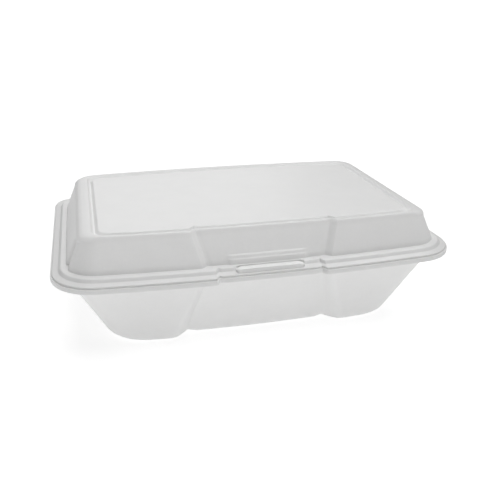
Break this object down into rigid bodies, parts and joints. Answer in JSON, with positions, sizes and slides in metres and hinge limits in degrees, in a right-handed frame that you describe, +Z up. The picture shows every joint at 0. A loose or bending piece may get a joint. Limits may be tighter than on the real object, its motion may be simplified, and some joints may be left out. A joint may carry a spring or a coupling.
{
  "type": "foam clamshell container",
  "caption": "Rectangular white foam food container: a deep tray and a domed lid joined by a fold along the back, closed at the front by a tab that snaps through a slot in the lid.",
  "frame": {"origin": "centre of the overall box at the tray's bottom face", "axes": "+X along the long side, +Y from the snap tab towards the hinge, +Z up"},
  "size_m": [0.2334, 0.165, 0.0698],
  "materials": {
    "white_foam": "white extruded polystyrene foam sheet, thermoformed, satin skin with fine cells"
  },
  "bodies": {
    "base": {"base_tray": "white_foam"},
    "lid": {"lid": "white_foam"}
  },
  "joints": [
    {"name": "lid_hinge", "type": "hinge", "parent": "base", "child": "lid", "pos_m": [0, 0.08255, 0.04725], "axis": [-1, 0, 0], "range_deg": [0, 180]}
  ]
}
